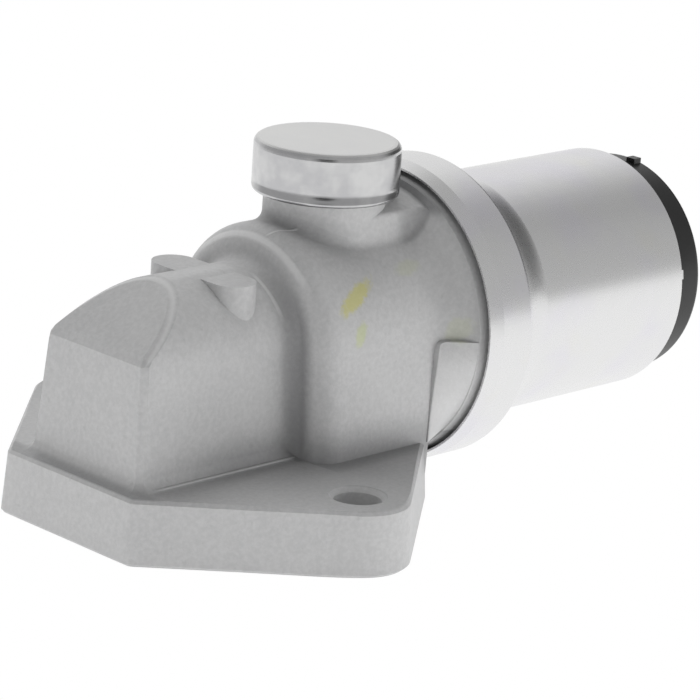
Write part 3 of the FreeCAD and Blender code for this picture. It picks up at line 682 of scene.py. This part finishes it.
hidden_start, slope_start, slope_end = 40.65 * MM, 41.4 * MM, 47.5 * MM
tube_r = 18.0
slope_top_r, slope_foot_r, sunk_r = (tube_r + 0.85) * MM, (tube_r - 0.03) * MM, (tube_r - 0.5) * MM
slope = neck_sleeve(
    hidden_start, slope_start, slope_end, slope_top_r, slope_foot_r, sunk_r, valve_axis
)
sleeve = grid_mesh("can_neck_runout", slope)
wear(sleeve, zinc)
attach(sleeve, "housing")

# %% [markdown]
# ## Cheeks of the neck
# Below the height of the valve's axis the casting's neck is fuller: each side has a shallow raised
# cheek, which starts in a small step behind the barrel's flat flank and runs out to the round of the
# flare. Its outer face is a ruled surface: straight lines join a leaning straight edge on the flank to
# an arc on the flare. The upper front corner of its outline is rounded, as a mould's corner is. The
# inner wall only closes the piece and lies hidden in the casting.


# %% Raise the cheeks
def cheek_rings(side, end_r, down_steps=36, along_steps=16):
    """Closed slices of one cheek, from its upper ledge down to the flange; side is -1 or 1 along Y.

    Outer face (1 - t) A(s) + t B(s) with A(s) = (x0, side (w + s tan lean), z - s) on the flank and
    B(s) = (x1, side r cos f, z - s), sin f = s / r, on the flare; s is the way down in mm. The face
    starts on the plane x = front - s tan(back lean), pushed back by c - sqrt(c^2 - (c - s)^2) near the
    top, which rounds the corner with radius c. The inner wall is y = side max(sqrt(13^2 - s^2), 9).
    """
    flank_x, flare_x = 24.0, 30.2
    flank_y, depth = 15.35, 14.35
    lean, back_lean = math.radians(8.4), math.radians(5.7)
    corner, corner_steps, edge = 0.7, 9, 0.18
    hidden_r, hidden_y = 13.0, 9.0
    round_part = np.linspace(0, corner, corner_steps)[:-1]
    straight_part = np.linspace(corner, depth, down_steps - corner_steps + 1)
    s = np.concatenate([round_part, straight_part])
    front = cheek_front_x - s * math.tan(back_lean)
    front = front + corner - np.sqrt(corner**2 - np.clip(corner - s, 0, corner) ** 2)
    flank = flank_y + s * math.tan(lean)
    flare = end_r * np.cos(np.arcsin(s / end_r))
    t0 = (front + edge - flank_x) / (flare_x - flank_x)
    t = t0[:, None] + (1 - t0[:, None]) * np.linspace(0, 1, along_steps)[None, :]
    x = flank_x + (flare_x - flank_x) * t
    y = flank[:, None] + (flare - flank)[:, None] * t
    inner = np.sqrt(np.maximum(hidden_r**2 - s**2, hidden_y**2))[:, None]
    lip, front = y[:, :1], front[:, None]
    x = np.concatenate([front, front, front + edge * 0.3, x, x[:, -1:]], 1)
    y = np.concatenate([inner, lip - edge, lip - edge * 0.3, y, inner], 1)
    z = np.repeat((cheek_top_z - s)[:, None], x.shape[1], 1)
    return np.stack([x, side * y, z], -1)[:, ::side] * MM


for name, side, end_r in (("near_cheek", -1, 20.3), ("far_cheek", 1, 19.8)):
    cheek = grid_mesh(name, cheek_rings(side, end_r), caps=True)
    cheek.data.set_sharp_from_angle(angle=math.radians(40))
    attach(cheek, "housing")
    wear(cheek, cast)

# %% [markdown]
# ## White ground
# The picture has a pure white ground. The floor is pale and really receives and returns light, but seen
# directly by the camera it glows at exactly white, so no shadow edge shows. The same switch whitens the
# world. Bright metal mirrors the floor as white too, as it would mirror a lit table.


# %% Switch to white
def white_to_camera(tree, lit, target, mirrors_too=False):
    """Shows pure white to the camera, and to mirrors if wanted, and the lit shader to all other light."""
    paths = tree.nodes.new("ShaderNodeLightPath")
    in_world = target.node.bl_idname == "ShaderNodeOutputWorld"
    white = tree.nodes.new("ShaderNodeBackground" if in_world else "ShaderNodeEmission")
    white.inputs[0].default_value = (1, 1, 1, 1)
    white.inputs[1].default_value = 1.0
    sees = paths.outputs["Is Camera Ray"]
    if mirrors_too:
        either = tree.nodes.new("ShaderNodeMath")
        either.operation = "MAXIMUM"
        tree.links.new(sees, either.inputs[0])
        tree.links.new(paths.outputs["Is Glossy Ray"], either.inputs[1])
        sees = either.outputs[0]
    choose = tree.nodes.new("ShaderNodeMixShader")
    tree.links.new(sees, choose.inputs[0])
    tree.links.new(lit, choose.inputs[1])
    tree.links.new(white.outputs[0], choose.inputs[2])
    tree.links.new(choose.outputs[0], target)


# %% [markdown]
# ## The room
# A bright can shows the room more than itself, so the room matters as much as the lamps. Its light on
# the valve is a dim even grey that is brighter behind the valve. What metal mirrors is a second, lighter
# room with two dark zones: a small one where the camera stands, and a wide one past the can's end,
# which the slope of its neck mirrors as a dark crescent.

# %% Room tones
scene = bpy.context.scene
world = bpy.data.worlds.new("studio_room")
scene.world = world
world.use_nodes = True
room = world.node_tree
room_light = room.nodes["Background"]
heading = room.nodes.new("ShaderNodeTexCoord").outputs["Generated"]
room_paths = room.nodes.new("ShaderNodeLightPath")


def fade_along(direction, start, end):
    """0 to 1 as the heading turns towards this direction, between two cosines."""
    dot = room.nodes.new("ShaderNodeVectorMath")
    dot.operation = "DOT_PRODUCT"
    room.links.new(heading, dot.inputs[0])
    dot.inputs[1].default_value = direction
    fade = room.nodes.new("ShaderNodeMapRange")
    fade.interpolation_type = "SMOOTHSTEP"
    room.links.new(dot.outputs["Value"], fade.inputs[0])
    fade.inputs[1].default_value = start
    fade.inputs[2].default_value = end
    return fade.outputs[0]


def blend_tones(share, first, second):
    """Grey between two tones, each a number or an earlier blend."""
    mixed = room.nodes.new("ShaderNodeMix")
    mixed.data_type = "RGBA"
    room.links.new(share, mixed.inputs[0])
    for key, tone in ((6, first), (7, second)):
        if isinstance(tone, float):
            mixed.inputs[key].default_value = (tone, tone, tone, 1)
        else:
            room.links.new(tone, mixed.inputs[key])
    return mixed.outputs[2]


upward = fade_along((0, 0, 1), 0.45, 0.90)
backwards = fade_along((0.69, 0.72, 0.0), 0.35, 0.80)
at_camera = fade_along((-0.69, -0.68, 0.29), 0.96, 0.985)
past_can = fade_along((0.97, 0.05, 0.22), 0.83, 0.97)
soft_front, soft_back = 0.20, 0.60
mirrored_front, mirrored_top, mirrored_back = 0.50, 0.45, 0.86
camera_tone, dark_wall = 0.06, 0.10
soft_room = blend_tones(backwards, soft_front, soft_back)
mirrored_sides = blend_tones(upward, mirrored_front, mirrored_top)
mirrored_room = blend_tones(backwards, mirrored_sides, mirrored_back)
mirrored_room = blend_tones(at_camera, mirrored_room, camera_tone)
mirrored_room = blend_tones(past_can, mirrored_room, dark_wall)
room_tone = blend_tones(room_paths.outputs["Is Glossy Ray"], soft_room, mirrored_room)
room.links.new(room_tone, room_light.inputs[0])
white_to_camera(room, room_light.outputs[0], room.nodes["World Output"].inputs["Surface"])
print("room nodes:", len(room.nodes))

# %% [markdown]
# The floor lies a hair under the mounting face, so that the two never share a plane.

# %% Floor
floor_mesh = bpy.data.meshes.new("floor")
reach = 1.6
corners = [(-reach, -reach, 0), (reach, -reach, 0), (reach, reach, 0), (-reach, reach, 0)]
floor_mesh.from_pydata(corners, [], [(0, 1, 2, 3)])
floor = bpy.data.objects.new("floor", floor_mesh)
floor.location.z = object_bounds()[0].z - 0.05 * MM
scene.collection.objects.link(floor)
floor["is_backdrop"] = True
paper = Finish("white_paper")
paper.paint(colour=(0.82, 0.82, 0.82), roughness=0.9)
white_to_camera(paper.tree, paper.surface.outputs["BSDF"], paper.output.inputs["Surface"], True)
wear(floor, paper)
print("floor at", round(floor.location.z / MM, 2), "mm")

# %% [markdown]
# ## Soft panels
# The light is soft: a broad low panel in front on the can's side, a weaker one at the nose's end, one
# high up behind, and a lit table, which opens the shadows under the can. The panels don't show in
# mirrors, because the mirrored room already has its own tones.


# %% Panels
def panel(name, place, aim, width, height, watts):
    """Rectangular soft light looking at a point."""
    lamp = bpy.data.lights.new(name, "AREA")
    lamp.shape = "RECTANGLE"
    lamp.size = width
    lamp.size_y = height
    lamp.energy = watts
    made = bpy.data.objects.new(name, lamp)
    made.location = place
    made.rotation_euler = (Vector(aim) - Vector(place)).to_track_quat("-Z", "Y").to_euler()
    made.visible_glossy = False
    made.visible_camera = False
    scene.collection.objects.link(made)
    made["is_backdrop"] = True


middle = (0.02, 0.0, 0.02)
table_place = (0.02, 0.0, floor.location.z + 0.02 * MM)
panels = [
    ("front_panel", (0.60, -0.75, 0.12), middle, 0.6, 0.4, 5.4),
    ("left_panel", (-0.85, -0.10, 0.12), middle, 0.5, 0.4, 1.6),
    ("top_panel", (0.10, 0.40, 0.80), middle, 0.5, 0.5, 5.5),
    ("lit_table", table_place, (0.02, 0.0, 1.0), 0.8, 0.8, 1.8),
]
for looks in panels:
    panel(*looks)
print("soft panels:", len(panels))

# %% [markdown]
# ## Camera
# The camera stands where the picture was taken: in front, to the nose's side and a little above, with a
# long lens and a small roll. Its place was solved from the flange outline and the can's circles.

# %% Camera
eye = Vector((-326.136, -342.866, 164.548)) * MM
look_at = Vector((20.48, -4.69, 19.94)) * MM
roll = math.radians(3.95)
lens = bpy.data.cameras.new("picture_camera")
lens.sensor_width = 36.0
lens.lens = 184.59
lens.clip_start = 0.01
camera = bpy.data.objects.new("picture_camera", lens)
turn = (look_at - eye).to_track_quat("-Z", "Y").to_matrix()
spin = Matrix.Rotation(roll, 3, "Z")
camera.matrix_world = (turn @ spin).to_4x4()
camera.location = eye
scene.collection.objects.link(camera)
scene.camera = camera
scene.view_settings.view_transform = "Standard"
print("camera distance mm:", round((look_at - eye).length / MM))

# %% [markdown]
# ## Dressed size
# The box of the dressed valve is printed in millimetres.

# %% Dressed size
low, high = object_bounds()
print("dressed size mm:", [round(v / MM, 1) for v in high - low])
